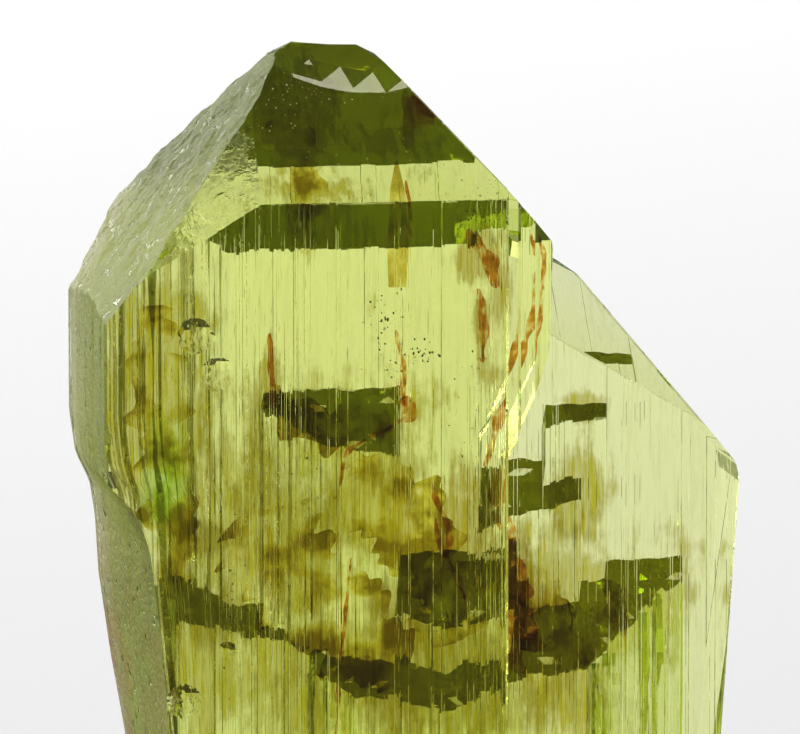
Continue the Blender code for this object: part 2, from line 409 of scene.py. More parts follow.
steps = []
for wall, top, corners, seed in GROWTH_STEPS:
    outer = [(x, wall + beyond) for x, beyond in corners]
    inner_left = (outer[-1][0], wall - STEP_OVERLAP)
    inner_right = (outer[0][0], wall - STEP_OVERLAP)
    lines = ridged_wall(inner_left, inner_right, 2.0, 3.0, 0.0, seed)
    for index, (right, left) in enumerate(zip([inner_right] + outer, outer + [inner_left])):
        hidden = index == 0 or index == len(outer)
        lines += ridged_wall(right, left, 0.12, 0.7, 0.0 if hidden else 0.3, seed * 10 + index)
    heights = ring_heights(BLANK_FOOT, top + STEP_SPARE, SEEN_FROM, top, 0.4, 0.9)
    step = wrap_sheet("growth_step", lines, heights)
    step_face = (DOME_101, 180.0, (0.0, wall, top))
    cleave(step, [step_face])
    triangulate(step)
    middle = (0.5 * (corners[0][0] + corners[-1][0]), wall, top)
    apply_boolean(step, etched_cutter(step_face, middle, 16.0, 14.0, 0.3, 0.10, 0.03), "DIFFERENCE")
    steps.append(step)

# All of it is one crystal, so its parts are united, and the root is cut flat where it rests.
BED = 60.0 * MM
growth = steps[0]
for step in steps[1:]:
    apply_boolean(growth, step, "UNION")
for part in (growth, shoulder):
    apply_boolean(side, part, "UNION")
apply_boolean(main, side, "UNION")
bpy.ops.object.select_all(action="DESELECT")
bpy.ops.mesh.primitive_cube_add(size=BED, location=(0.0, 0.0, -0.5 * BED))
bed = bpy.context.object
bed.data.transform(Matrix.Translation(bed.location))
bed.location = (0.0, 0.0, 0.0)
apply_boolean(main, bed, "DIFFERENCE")

# The chips. Where the edges were knocked, olivine has broken with curved, rippled hollows. Each one
# is cut with a ball whose surface has faint rings round the point of the blow.
CHIPS = [
    # centre x, depth and height, radius, ring height, rings over the ball
    (-1.63, -4.59, 41.26, 14.0, 0.0012, 90.0),
    (-11.75, -0.72, 18.2, 1.18, 0.004, 26.0),
    (-11.6, -0.60, 14.6, 0.95, 0.004, 22.0),
    (-11.7, -0.70, 20.9, 1.05, 0.004, 22.0),
    (-8.0, -1.30, 21.6, 1.45, 0.003, 34.0),
    (-7.2, -2.10, 20.3, 2.20, 0.002, 46.0),
    (-7.55, -0.78, 21.45, 0.86, 0.004, 22.0),
    (-11.5, 10.0, 12.0, 2.10, 0.006, 40.0),
    (11.9, 1.95, 11.4, 1.05, 0.006, 26.0),
    (-8.4, -1.28, 9.3, 1.42, 0.004, 34.0),
    (-6.9, -0.72, 11.0, 0.80, 0.004, 22.0),
    (4.95, -0.05, 24.55, 1.0, 0.004, 22.0),
    (4.82, 0.95, 21.7, 0.42, 0.006, 16.0),
    (4.78, 0.92, 20.9, 0.38, 0.006, 16.0),
    (4.86, 1.02, 20.1, 0.45, 0.006, 16.0),
]


def chip_cutter(x, depth, height, radius, ripple, rings):
    """A ball with rings, to cut one chip."""
    bpy.ops.object.select_all(action="DESELECT")
    bpy.ops.mesh.primitive_ico_sphere_add(subdivisions=5, radius=radius * MM)
    ball = bpy.context.object
    blow = Vector((0.25, 0.35, 0.9)).normalized()
    for corner in ball.data.vertices:
        ring = corner.co.angle(blow) * rings
        corner.co *= 1.0 + ripple * math.sin(ring)
        corner.co += at(x, depth, height)
    return ball


for chip in CHIPS:
    apply_boolean(main, chip_cutter(*chip), "DIFFERENCE")

# The etch pits. Weathering has left small pointed pits, thickest where the crystal's edges and
# ledges catch it. They are six-sided and lie in the flat faces.
PIT_SPACING = 1.45
rng = random.Random(5)


def wall_point(x, height):
    """A point on the upright front face."""
    return Vector((x, 0.0, height)), facing(90.0, 0.0)


def dome_point(x, height):
    """A point on the front dome."""
    depth = (height - LEDGE) / math.tan(math.radians(DOME_101))
    return Vector((x, depth, height)), facing(DOME_101, 0.0)


PIT_FIELDS = [
    # where, x from and to, height from and to, count, smallest and largest radius
    (wall_point, -6.9, -4.3, 8.4, 16.6, 90, 0.025, 0.06),
    (wall_point, -8.6, -7.0, 9.0, 15.0, 26, 0.025, 0.06),
    (wall_point, -2.2, 0.4, 20.8, 23.2, 34, 0.02, 0.05),
    (wall_point, -4.5, 2.2, 8.2, 19.6, 50, 0.02, 0.045),
    (wall_point, -10.8, -7.8, 17.0, 23.6, 18, 0.025, 0.06),
    (wall_point, 0.7, 2.2, 17.5, 22.5, 16, 0.02, 0.05),
    (dome_point, -5.6, -4.2, 28.2, 30.0, 26, 0.03, 0.075),
    (dome_point, -4.6, 1.6, 26.2, 28.8, 70, 0.02, 0.055),
    (dome_point, -4.6, -2.5, 29.3, 30.3, 22, 0.03, 0.07),
    (dome_point, -2.6, -0.6, 28.9, 29.4, 22, 0.025, 0.06),
    (dome_point, -4.6, 1.4, 25.95, 26.2, 60, 0.03, 0.08),
    (dome_point, 0.9, 2.4, 25.95, 26.6, 44, 0.04, 0.11),
    (dome_point, -4.9, -3.0, 28.9, 29.9, 40, 0.04, 0.10),
]
bpy.ops.object.select_all(action="DESELECT")
bpy.ops.mesh.primitive_cone_add(vertices=6, radius1=1.0, radius2=0.0, depth=2.0)
pits = bpy.context.object
taken = []
for where, x_from, x_to, low_edge, high_edge, count, smallest, largest in PIT_FIELDS:
    for _ in range(count):
        spot, outward = where(rng.uniform(x_from, x_to), rng.uniform(low_edge, high_edge))
        radius = smallest * (largest / smallest) ** (rng.random() ** 2.0)
        spin = rng.uniform(-0.3, 0.3)
        if any((spot - other).length < PIT_SPACING * (radius + size) for other, size in taken):
            continue
        taken.append((spot, radius))
        turn = (-outward).to_track_quat("Z", "Y").to_matrix().to_4x4() @ Matrix.Rotation(spin, 4, "Z")
        pit = pits.copy()
        pit.data = pits.data.copy()
        pit.data.transform(Matrix.Translation(at(*spot)) @ turn @ Matrix.Scale(radius * MM, 4))
        bpy.context.collection.objects.link(pit)
        pit.select_set(True)
# The first cone was only the pattern for the others. It is shrunk and set in front, so it cuts nothing.
pits.data.transform(Matrix.Translation(at(0.0, -9.0, 20.0)) @ Matrix.Scale(0.1 * MM, 4))
bpy.context.view_layer.objects.active = pits
bpy.ops.object.join()
apply_boolean(main, pits, "DIFFERENCE")

# The gem. Clear olivine, green by its iron, etched matt where the weather reached it on the left
# and on the knocked edges, and stained olive and rust brown along its flaws. Its root is a plain
# rough cut. The whole crystal is one piece, so it rides and is replaced as one.
FROST = (1.0, 0.95, 0.66, 1.0)
WARM_FROST = (0.95, 0.62, 0.42, 1.0)
OLIVE = (0.36, 0.29, 0.004, 1.0)
BROWN = (0.30, 0.20, 0.004, 1.0)
OCHRE = (0.42, 0.33, 0.006, 1.0)
VIVID = (0.13, 0.55, 0.004, 1.0)
RUST = (0.42, 0.06, 0.008, 1.0)
ROOT_CUT = (1.0, 0.78, 0.06, 1.0)
CLEAR = (1.0, 1.0, 1.0, 1.0)
GLINT = (1.0, 0.95, 0.62, 1.0)
# How the clear stone takes light in and bends it, and how rough its faces are.
BODY_COLOUR = (0.82, 0.888, 0.015, 1.0)
BODY_DENSITY = 140.0
OLIVINE_IOR = 1.67
MATT_ROUGHNESS = 0.6
CORNER_MATT = 0.55
ROOT_ROUGHNESS = 0.18
ETCHED_DEPTH = 0.1 * MM
PER_MILLIMETRE = 1000.0
# The sockets of a colour Mix node.
MIX_SHARE = 0
MIX_FROM = 6
MIX_TO = 7
MIX_RESULT = 2
# The noise of the stains, stretched along x, depth and height; a stain ends at 1.5 times its reach.
STREAK_STRETCH = (4.2, 2.2, 0.34)
CLOUD_STRETCH = (1.0, 1.0, 0.8)
HAIR_STRETCH = (8.0, 4.0, 0.5)
STAIN_EDGE = 1.5
STAINS = [
    # x, depth and height of the middle, reach along each, colour, strength
    ((-9.4, 0.0, 19.6), (2.2, 1.2, 4.6), OLIVE, 1.15),
    ((-7.6, 0.0, 11.0), (1.6, 1.2, 3.2), OLIVE, 0.95),
    ((-9.0, 0.0, 16.9), (0.75, 1.0, 2.1), VIVID, 1.3),
    ((-8.9, 0.0, 13.4), (0.7, 1.0, 2.2), OLIVE, 1.0),
    ((-8.2, 0.0, 14.75), (1.6, 1.0, 0.6), OLIVE, 1.15),
    ((-5.45, 0.0, 20.3), (0.35, 1.0, 1.5), BROWN, 0.9),
    ((-4.3, 2.0, 28.9), (1.5, 3.0, 2.6), OLIVE, 1.05),
    ((-3.9, 0.6, 25.6), (2.4, 1.2, 1.5), OLIVE, 0.85),
    ((-1.3, 1.6, 27.6), (2.8, 1.6, 1.2), OLIVE, 0.5),
    ((0.15, 2.3, 28.8), (0.5, 0.9, 0.6), RUST, 1.3),
    ((-3.2, 0.0, 18.6), (2.6, 1.0, 1.35), OLIVE, 0.6),
    ((-5.9, 0.0, 16.6), (1.2, 1.0, 3.6), OLIVE, 0.7),
    ((-4.6, 0.0, 14.4), (1.8, 1.0, 2.9), OLIVE, 0.95),
    ((-1.7, 0.0, 15.6), (1.6, 1.0, 1.8), OCHRE, 1.05),
    ((-1.0, 0.0, 12.2), (1.4, 1.0, 1.8), BROWN, 1.0),
    ((1.3, 0.0, 14.6), (1.3, 1.0, 2.5), BROWN, 1.0),
    ((3.6, 2.5, 11.5), (0.9, 1.0, 2.3), BROWN, 1.15),
    ((1.2, 0.0, 9.6), (2.1, 1.0, 3.1), OLIVE, 1.0),
    ((-1.4, 0.0, 9.3), (2.0, 1.0, 1.8), BROWN, 0.85),
    ((-4.6, 0.0, 9.8), (2.2, 1.0, 2.7), OLIVE, 0.95),
    ((2.3, 0.3, 22.6), (0.55, 1.4, 3.2), BROWN, 0.7),
    ((1.5, 0.0, 24.1), (0.9, 1.0, 1.1), BROWN, 1.0),
    ((1.7, 0.0, 21.7), (0.35, 1.0, 1.5), BROWN, 0.95),
    ((4.7, 2.5, 9.2), (1.9, 1.0, 2.3), OCHRE, 0.9),
    ((5.8, 2.5, 18.6), (1.0, 1.0, 0.6), OLIVE, 1.0),
    ((5.4, 2.5, 15.6), (1.5, 1.0, 1.6), OLIVE, 0.8),
    ((-6.0, 10.5, 14.0), (3.4, 1.6, 5.0), OLIVE, 0.85),
    ((-1.2, 11.3, 16.6), (3.2, 3.0, 3.6), OLIVE, 0.8),
    ((6.8, 10.4, 11.5), (4.4, 3.2, 2.8), OLIVE, 0.95),
    ((1.4, 11.5, 8.0), (5.5, 3.5, 5.0), OLIVE, 0.8),
    ((-3.0, 5.0, 4.0), (8.0, 9.0, 3.6), OLIVE, 0.75),
    ((5.5, 5.0, 3.5), (6.0, 7.0, 3.2), BROWN, 0.7),
]

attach(main, "root")
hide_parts("olivine_crystal")
gem = bpy.data.materials.new("gem_olivine")
gem.use_nodes = True
nodes = gem.node_tree.nodes
links = gem.node_tree.links
shader = nodes["Principled BSDF"]


def math_node(operation, first, second=None, clamp=False):
    """One sum in the gem's material; each input is a socket or a number."""
    node = nodes.new("ShaderNodeMath")
    node.operation = operation
    node.use_clamp = clamp
    for socket, value in zip(node.inputs, (first, second)):
        if isinstance(value, bpy.types.NodeSocket):
            links.new(value, socket)
        elif value is not None:
            socket.default_value = value
    return node.outputs["Value"]


def ramp(value, low, high):
    """0 below low and 1 above high, soft between; low may be above high to turn it round."""
    node = nodes.new("ShaderNodeMapRange")
    node.interpolation_type = "SMOOTHSTEP"
    links.new(value, node.inputs["Value"])
    turned = low > high
    node.inputs["From Min"].default_value = min(low, high)
    node.inputs["From Max"].default_value = max(low, high)
    node.inputs["To Min"].default_value = 1.0 if turned else 0.0
    node.inputs["To Max"].default_value = 0.0 if turned else 1.0
    return node.outputs["Result"]


def grain(scale, detail, stretch=(1.0, 1.0, 1.0), place=(0.0, 0.0, 0.0), roughness=0.55):
    """Noise in the crystal's millimetres, stretched along an axis by a small factor there."""
    mapping = nodes.new("ShaderNodeMapping")
    mapping.inputs["Scale"].default_value = [PER_MILLIMETRE * share for share in stretch]
    mapping.inputs["Location"].default_value = place
    links.new(coordinates.outputs["Object"], mapping.inputs["Vector"])
    node = nodes.new("ShaderNodeTexNoise")
    node.inputs["Scale"].default_value = scale
    node.inputs["Detail"].default_value = detail
    node.inputs["Roughness"].default_value = roughness
    links.new(mapping.outputs["Vector"], node.inputs["Vector"])
    return node.outputs["Fac"]


def mixed_colour(first, share, second):
    """Goes from one colour to another by a share; each colour is a socket or four numbers."""
    node = nodes.new("ShaderNodeMix")
    node.data_type = "RGBA"
    for socket, value in ((node.inputs[MIX_FROM], first), (node.inputs[MIX_TO], second)):
        if isinstance(value, bpy.types.NodeSocket):
            links.new(value, socket)
        else:
            socket.default_value = value
    links.new(share, node.inputs[MIX_SHARE])
    return node.outputs[MIX_RESULT]


coordinates = nodes.new("ShaderNodeTexCoord")
geometry = nodes.new("ShaderNodeNewGeometry")
facing_way = nodes.new("ShaderNodeSeparateXYZ")
links.new(geometry.outputs["True Normal"], facing_way.inputs["Vector"])
to_millimetres = nodes.new("ShaderNodeMapping")
to_millimetres.inputs["Scale"].default_value = [PER_MILLIMETRE] * 3
to_millimetres.inputs["Location"].default_value = (0.0, -FRONT, 0.0)
links.new(coordinates.outputs["Object"], to_millimetres.inputs["Vector"])
place = nodes.new("ShaderNodeSeparateXYZ")
links.new(to_millimetres.outputs["Vector"], place.inputs["Vector"])

# Where it is matt: the left side, the narrow worn faces along the edges, and partly the face at the
# front left corner. The root is known by its height.
left = math_node("MULTIPLY", facing_way.outputs["X"], -1.0)
left_side = math_node("MULTIPLY", ramp(left, 0.30, 0.62), ramp(place.outputs["X"], -3.0, -5.0))
grainy = grain(2.0, 4.0)
matt = math_node("MULTIPLY", left_side, ramp(grainy, 0.30, 0.46), clamp=True)
worn = nodes.new("ShaderNodeAttribute")
worn.attribute_name = "wear"
worn_share = math_node("MULTIPLY", worn.outputs["Fac"], ramp(grainy, 0.34, 0.48))
matt = math_node("MAXIMUM", matt, worn_share)
slanting = ramp(facing_way.outputs["Z"], 0.35, 0.5)
corner_share = math_node("MULTIPLY", ramp(left, 0.22, 0.32), slanting)
corner_share = math_node("MULTIPLY", corner_share, ramp(grainy, 0.36, 0.60))
matt = math_node("MAXIMUM", matt, math_node("MULTIPLY", corner_share, CORNER_MATT))
root = ramp(place.outputs["Z"], 0.06, 0.03)

# The stains: clouds that follow the upright flaws, so each is broken into upright streaks.
streaks = grain(1.0, 4.0, STREAK_STRETCH, place=(3.0, 0.0, 0.0), roughness=0.6)
clouds = grain(0.8, 4.0, CLOUD_STRETCH, place=(0.0, 7.0, 0.0), roughness=0.62)
broken = math_node("ADD", math_node("MULTIPLY", streaks, 0.6), math_node("MULTIPLY", clouds, 0.6))
stain = nodes.new("ShaderNodeAttribute")
stain.attribute_name = "stain"
ragged = math_node("ADD", math_node("MULTIPLY", broken, 2.9), stain.outputs["Alpha"])
hairs = ramp(grain(1.0, 3.0, HAIR_STRETCH, place=(5.0, 0.0, 0.0), roughness=0.7), 0.34, 0.62)
dense = math_node("ADD", math_node("MULTIPLY", hairs, 0.25), 0.75)
cloud = math_node("MULTIPLY", ramp(ragged, 2.05, 2.6), dense)
faint = math_node("MULTIPLY", ramp(math_node("MULTIPLY", hairs, streaks), 0.34, 0.66), 0.20)
cloud = math_node("MAXIMUM", cloud, faint)
colour = mixed_colour(CLEAR, cloud, stain.outputs["Color"])
warm = math_node("MULTIPLY", ramp(place.outputs["Z"], 15.5, 10.0), ramp(clouds, 0.35, 0.6))
frost_colour = mixed_colour(FROST, warm, WARM_FROST)
colour = mixed_colour(colour, left_side, frost_colour)
colour = mixed_colour(colour, root, ROOT_CUT)
links.new(colour, shader.inputs["Base Color"])

# The finish: polished by nature, but for the matt faces and the root.
rough = math_node("MULTIPLY", matt, MATT_ROUGHNESS)
rough = math_node("MAXIMUM", rough, math_node("MULTIPLY", root, ROOT_ROUGHNESS))
links.new(rough, shader.inputs["Roughness"])
shader.inputs["IOR"].default_value = OLIVINE_IOR
shader.inputs["Transmission Weight"].default_value = 1.0
shader.inputs["Specular Tint"].default_value = GLINT
pocked = grain(4.5, 3.0)
etched_bump = nodes.new("ShaderNodeBump")
etched_bump.inputs["Strength"].default_value = 1.0
etched_bump.inputs["Distance"].default_value = ETCHED_DEPTH
links.new(math_node("MULTIPLY", pocked, matt), etched_bump.inputs["Height"])
links.new(etched_bump.outputs["Normal"], shader.inputs["Normal"])
absorb = nodes.new("ShaderNodeVolumeAbsorption")
absorb.inputs["Color"].default_value = BODY_COLOUR
absorb.inputs["Density"].default_value = BODY_DENSITY
links.new(absorb.outputs["Volume"], nodes["Material Output"].inputs["Volume"])
main.data.materials.clear()
main.data.materials.append(gem)

# Each corner of the mesh holds the tint of the stains near it, and as its alpha how near they are.
stain_marks = main.data.attributes.new("stain", "FLOAT_COLOR", "POINT")
for corner in main.data.vertices:
    spot = corner.co / MM - Vector((0.0, FRONT, 0.0))
    nearest = 0.0
    mixed = Vector(OLIVE[:3]) * 0.01
    total = 0.01
    for middle, reach, tint, strength in STAINS:
        away = Vector([(spot[axis] - middle[axis]) / reach[axis] for axis in range(3)])
        share = strength * max(0.0, STAIN_EDGE - away.length)
        if share > 0.0:
            nearest = max(nearest, share)
            mixed += Vector(tint[:3]) * share ** 2
            total += share ** 2
    stain_marks.data[corner.index].color = (*(mixed / total), nearest)

# The worn faces are marked on the mesh by the way they face and how far out they lie.
SAME_WAY = 0.9995
SAME_PLANE = 0.002 * MM
wear = main.data.attributes.new("wear", "FLOAT", "FACE")
for face in main.data.polygons:
    for slope, bearing, through in WORN:
        outward = facing(slope, bearing)
        apart = abs((face.center - at(*through)).dot(outward))
        if face.normal.dot(outward) > SAME_WAY and apart < SAME_PLANE:
            wear.data[face.index].value = 1.0

# The rust veins. Iron-rich water has crept into healed cracks inside the crystal and left thin,
# see-through films and threads of rust and brown. Each follows a crack, so it is a narrow ribbon.
RUST_RED = (0.74, 0.34, 0.05, 1.0)
RUST_BROWN = (0.42, 0.17, 0.015, 1.0)
CLEAR_FILM = (1.0, 0.98, 0.90, 1.0)
FILM_ROUGHNESS = 0.12
VEINS = [
    # name, half width, thickness and the points it follows: x, depth and height
    ("rust_vein", 0.085, 0.10, [
        (-1.15, 0.6, 21.6), (-0.98, 0.6, 20.85), (-0.88, 0.6, 20.08), (-0.92, 0.6, 19.41),
        (-0.78, 0.6, 18.83)]),
    ("rust_drop", 0.26, 0.22, [(-0.86, 0.7, 19.35), (-0.74, 0.7, 18.9), (-0.80, 0.7, 18.45)]),
    ("rust_tail", 0.075, 0.10, [
        (-0.83, 0.8, 18.62), (-1.5, 0.8, 18.21), (-2.28, 0.8, 17.84), (-2.76, 0.8, 17.47),
        (-2.96, 0.8, 16.86), (-3.03, 0.8, 16.33)]),
    ("rust_strip", 0.15, 0.12, [
        (3.50, 1.7, 24.60), (3.80, 1.7, 23.79), (3.74, 1.7, 22.85), (3.50, 1.7, 21.5),
        (3.16, 1.7, 20.49), (2.76, 1.7, 19.32)]),
    ("rust_strip_low", 0.13, 0.12, [
        (2.72, 1.8, 19.1), (2.49, 1.8, 18.47), (2.21, 1.8, 17.46), (1.98, 1.8, 16.79)]),
    ("rust_curve", 0.10, 0.12, [
        (0.21, 0.7, 15.19), (0.35, 0.7, 14.35), (0.76, 0.7, 13.51), (1.09, 0.7, 12.83),
        (1.23, 0.7, 12.4)]),
    ("rust_fork", 0.12, 0.12, [
        (0.10, 0.9, 16.3), (0.42, 0.9, 15.4), (0.70, 0.9, 14.5), (0.55, 0.9, 13.9)]),
    ("rust_cone", 0.34, 0.30, [
        (2.41, 3.2, 16.6), (2.65, 3.2, 15.66), (2.92, 3.2, 14.65), (3.32, 3.2, 13.57)]),
    ("brown_mass", 0.52, 0.40, [
        (3.14, 4.0, 13.6), (3.47, 4.0, 12.56), (3.34, 4.0, 11.55), (3.75, 4.0, 10.54),
        (3.47, 4.0, 9.4)]),
    ("dark_thread", 0.06, 0.08, [
        (-2.64, 1.0, 13.9), (-2.81, 1.0, 12.13), (-3.01, 1.0, 10.11), (-3.18, 1.0, 7.76)]),
    ("brown_blots", 0.24, 0.20, [
        (1.31, 0.8, 24.9), (1.72, 0.8, 24.27), (2.05, 0.8, 23.73), (2.29, 0.8, 22.9)]),
    ("brown_column", 0.15, 0.14, [(1.66, 0.9, 22.9), (1.86, 0.9, 21.74), (1.79, 0.9, 20.4)]),
    ("red_patch", 0.17, 0.12, [(-0.22, 2.9, 29.0), (0.18, 2.9, 28.62), (0.60, 2.9, 28.2)]),
    ("brown_tip", 0.12, 0.12, [(-5.43, 0.5, 21.6), (-5.37, 0.5, 20.43), (-5.3, 0.5, 19.1)]),
    ("needle_edge", 0.07, 0.08, [(-0.76, 0.8, 26.5), (-0.66, 0.8, 25.6), (-0.63, 0.8, 24.7)]),
]
# A ribbon's mesh, and how much its width and its path waver, as shares of its half width.
SIDES_ROUND = 8
RING_SPACING = 0.09
WAVER = 1.1
SWAY = 0.7


def along(route, share):
    """A point on a smooth curve through the route's points, and the points nearest to it."""
    place = share * (len(route) - 1)
    index = min(int(place), len(route) - 2)
    part = place - index
    before = Vector(route[max(index - 1, 0)])
    start = Vector(route[index])
    end = Vector(route[index + 1])
    after = Vector(route[min(index + 2, len(route) - 1)])
    return 0.5 * (
        2.0 * start + (end - before) * part
        + (2.0 * before - 5.0 * start + 4.0 * end - after) * part ** 2
        + (3.0 * start - before - 3.0 * end + after) * part ** 3
    )


def ribbon(name, half_width, thickness, route):
    """A closed, uneven ribbon along a route, drawn out to a point at both ends."""
    length = sum((Vector(end) - Vector(start)).length for start, end in zip(route, route[1:]))
    rings = max(10, int(length / RING_SPACING))
    bpy.ops.object.select_all(action="DESELECT")
    bpy.ops.mesh.primitive_grid_add(x_subdivisions=SIDES_ROUND, y_subdivisions=rings, size=1.0)
    piece = bpy.context.object
    piece.name = name
    key = sum(ord(letter) for letter in name)
    behind = Vector((0.0, 1.0, 0.0))
    for corner in piece.data.vertices:
        share = corner.co.y + 0.5
        turn = (corner.co.x + 0.5) * 2.0 * math.pi
        spot = along(route, share)
        ahead = along(route, min(1.0, share + 0.01)) - along(route, max(0.0, share - 0.01))
        across = ahead.normalized().cross(behind).normalized()
        side_key = round(math.sin(turn), 3) * 0.8
        uneven = 1.0 + WAVER * noise.noise(Vector((key, share * rings * 0.16, side_key)))
        drawn_out = math.sin(math.pi * min(1.0, max(0.02, share))) ** 0.4
        width = half_width * uneven * drawn_out
        sway = noise.noise(Vector((key + 9.0, share * rings * 0.11, 0.0))) * half_width * SWAY
        spot += across * (sway + math.cos(turn) * width)
        spot += behind * math.sin(turn) * 0.5 * thickness * min(1.0, width / half_width)
        corner.co = at(*spot)
    bpy.ops.object.mode_set(mode="EDIT")
    bpy.ops.mesh.select_all(action="SELECT")
    bpy.ops.mesh.remove_doubles(threshold=MERGE_DISTANCE)
    bpy.ops.mesh.fill_holes(sides=0)
    bpy.ops.mesh.normals_make_consistent(inside=False)
    bpy.ops.mesh.faces_shade_smooth()
    bpy.ops.object.mode_set(mode="OBJECT")
    return piece


def blotch_group():
    """The blotches that every film of stain shares: dark, then light, then clear."""
    group = bpy.data.node_groups.new("stain_blotches", "ShaderNodeTree")
    for socket in ("Scale", "Dark Until", "Light At", "Clear From"):
        group.interface.new_socket(socket, in_out="INPUT", socket_type="NodeSocketFloat")
    for socket in ("Dark", "Light", "Clear"):
        group.interface.new_socket(socket, in_out="INPUT", socket_type="NodeSocketColor")
    group.interface.new_socket("Color", in_out="OUTPUT", socket_type="NodeSocketColor")
    given = group.nodes.new("NodeGroupInput")
    result = group.nodes.new("NodeGroupOutput")
    spot = group.nodes.new("ShaderNodeTexCoord")
    blotches = group.nodes.new("ShaderNodeTexNoise")
    blotches.inputs["Detail"].default_value = 3.0
    group.links.new(spot.outputs["Object"], blotches.inputs["Vector"])
    group.links.new(given.outputs["Scale"], blotches.inputs["Scale"])
    so_far = given.outputs["Dark"]
    for begin, end, tint in (("Dark Until", "Light At", "Light"), ("Light At", "Clear From", "Clear")):
        share = group.nodes.new("ShaderNodeMapRange")
        group.links.new(blotches.outputs["Fac"], share.inputs["Value"])
        group.links.new(given.outputs[begin], share.inputs["From Min"])
        group.links.new(given.outputs[end], share.inputs["From Max"])
        blend = group.nodes.new("ShaderNodeMix")
        blend.data_type = "RGBA"
        group.links.new(share.outputs["Result"], blend.inputs[MIX_SHARE])
        group.links.new(so_far, blend.inputs[MIX_FROM])
        group.links.new(given.outputs[tint], blend.inputs[MIX_TO])
        so_far = blend.outputs[MIX_RESULT]
    group.links.new(so_far, result.inputs["Color"])
    return group


STAIN_BLOTCHES = blotch_group()


def film(name, light, dark, scale, bands=(0.36, 0.52, 0.66)):
    """A clear film of stain inside the crystal: it tints what is seen through it, in blotches."""
    stain_film = bpy.data.materials.new(name)
    stain_film.use_nodes = True
    tree = stain_film.node_tree
    film_shader = tree.nodes["Principled BSDF"]
    blotches = tree.nodes.new("ShaderNodeGroup")
    blotches.node_tree = STAIN_BLOTCHES
    blotches.inputs["Scale"].default_value = scale
    blotches.inputs["Dark"].default_value = dark
    blotches.inputs["Light"].default_value = light
    blotches.inputs["Clear"].default_value = CLEAR_FILM
    for socket, band in zip(("Dark Until", "Light At", "Clear From"), bands):
        blotches.inputs[socket].default_value = band
    tree.links.new(blotches.outputs["Color"], film_shader.inputs["Base Color"])
    film_shader.inputs["Transmission Weight"].default_value = 1.0
    film_shader.inputs["IOR"].default_value = 1.0
    film_shader.inputs["Roughness"].default_value = FILM_ROUGHNESS
    return stain_film


rust_film = film("rust_film", RUST_RED, RUST_BROWN, 2600.0)
for name, half_width, thickness, route in VEINS:
    vein = ribbon(name, half_width, thickness, route)
    vein.data.materials.append(rust_film)
    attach(vein, "root")

# The veils. Wider healed cracks lie deeper in the crystal. They are clear in places and cloudy
# with olive stain in others, so they show as mottled clouds behind the front face.
VEILS = [
    # name, half width, thickness and the points it follows: x, depth and height
    ("cloud_veil", 0.7, 0.05, [(-5.4, 4.0, 19.4), (-2.9, 4.4, 17.9), (-0.9, 4.8, 18.2)]),
    ("low_veil", 1.7, 0.05, [(-6.0, 3.0, 15.4), (-3.8, 3.4, 12.6), (-0.6, 3.2, 9.6)]),
    ("middle_veil", 1.4, 0.05, [(-2.2, 5.0, 16.8), (0.0, 5.4, 14.2), (1.6, 5.2, 10.6)]),
    ("left_veil", 0.9, 0.05, [(-9.2, 2.0, 22.5), (-8.9, 2.4, 18.0), (-8.3, 2.2, 12.5)]),
    ("right_veil", 1.0, 0.05, [(3.6, 5.0, 13.0), (5.4, 5.2, 10.4), (7.6, 5.4, 11.8)]),
    ("top_veil", 0.7, 0.05, [(-4.6, 3.4, 28.6), (-4.0, 3.2, 26.6), (-3.7, 3.0, 24.0)]),
]
VEIL_LIGHT = (0.80, 0.70, 0.16, 1.0)
VEIL_DARK = (0.36, 0.26, 0.01, 1.0)
veil_film = film("veil_film", VEIL_LIGHT, VEIL_DARK, 620.0, (0.42, 0.50, 0.57))
for name, half_width, thickness, route in VEILS:
    veil = ribbon(name, half_width, thickness, route)
    veil.data.materials.append(veil_film)
    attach(veil, "root")

# The needle. A slender olive crystal that was caught inside the big one as it grew: six-sided,
# upright, and pointed at the top. It is yellower than the crystal round it.
NEEDLE_MIDDLE = -1.0
NEEDLE_DEPTH = 1.15
NEEDLE_HALF_WIDTH = 0.42
NEEDLE_HALF_DEPTH = 0.22
NEEDLE_TOP = 27.15
NEEDLE_LEAN = 0.0125
NEEDLE_RINGS = {
    # ring of the cylinder before it is shaped: its height in the crystal and its share of the width
    1.0: (NEEDLE_TOP, 0.12),
    0.5: (26.1, 0.62),
    -0.2: (24.6, 1.0),
    -1.0: (23.0, 0.8),
}
NEEDLE_LIGHT = (0.80, 0.66, 0.20, 1.0)
NEEDLE_DARK = (0.52, 0.40, 0.08, 1.0)
bpy.ops.object.select_all(action="DESELECT")
bpy.ops.mesh.primitive_cylinder_add(vertices=6, radius=1.0, depth=2.0)
needle = bpy.context.object
needle.name = "needle"
bpy.ops.object.mode_set(mode="EDIT")
bpy.ops.mesh.select_all(action="SELECT")
for ring in (-0.2, 0.5):
    bpy.ops.mesh.bisect(plane_co=(0.0, 0.0, ring), plane_no=(0.0, 0.0, 1.0))
    bpy.ops.mesh.select_all(action="SELECT")
bpy.ops.object.mode_set(mode="OBJECT")
for corner in needle.data.vertices:
    ring = min(NEEDLE_RINGS, key=lambda known: abs(known - corner.co.z))
    height, taper = NEEDLE_RINGS[ring]
    corner.co = at(
        NEEDLE_MIDDLE + corner.co.x * NEEDLE_HALF_WIDTH * taper - NEEDLE_LEAN * (NEEDLE_TOP - height),
        NEEDLE_DEPTH + corner.co.y * NEEDLE_HALF_DEPTH * taper,
        height,
    )
needle_olive = film("needle_olive", NEEDLE_LIGHT, NEEDLE_DARK, 1500.0)
needle.data.materials.append(needle_olive)
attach(needle, "root")
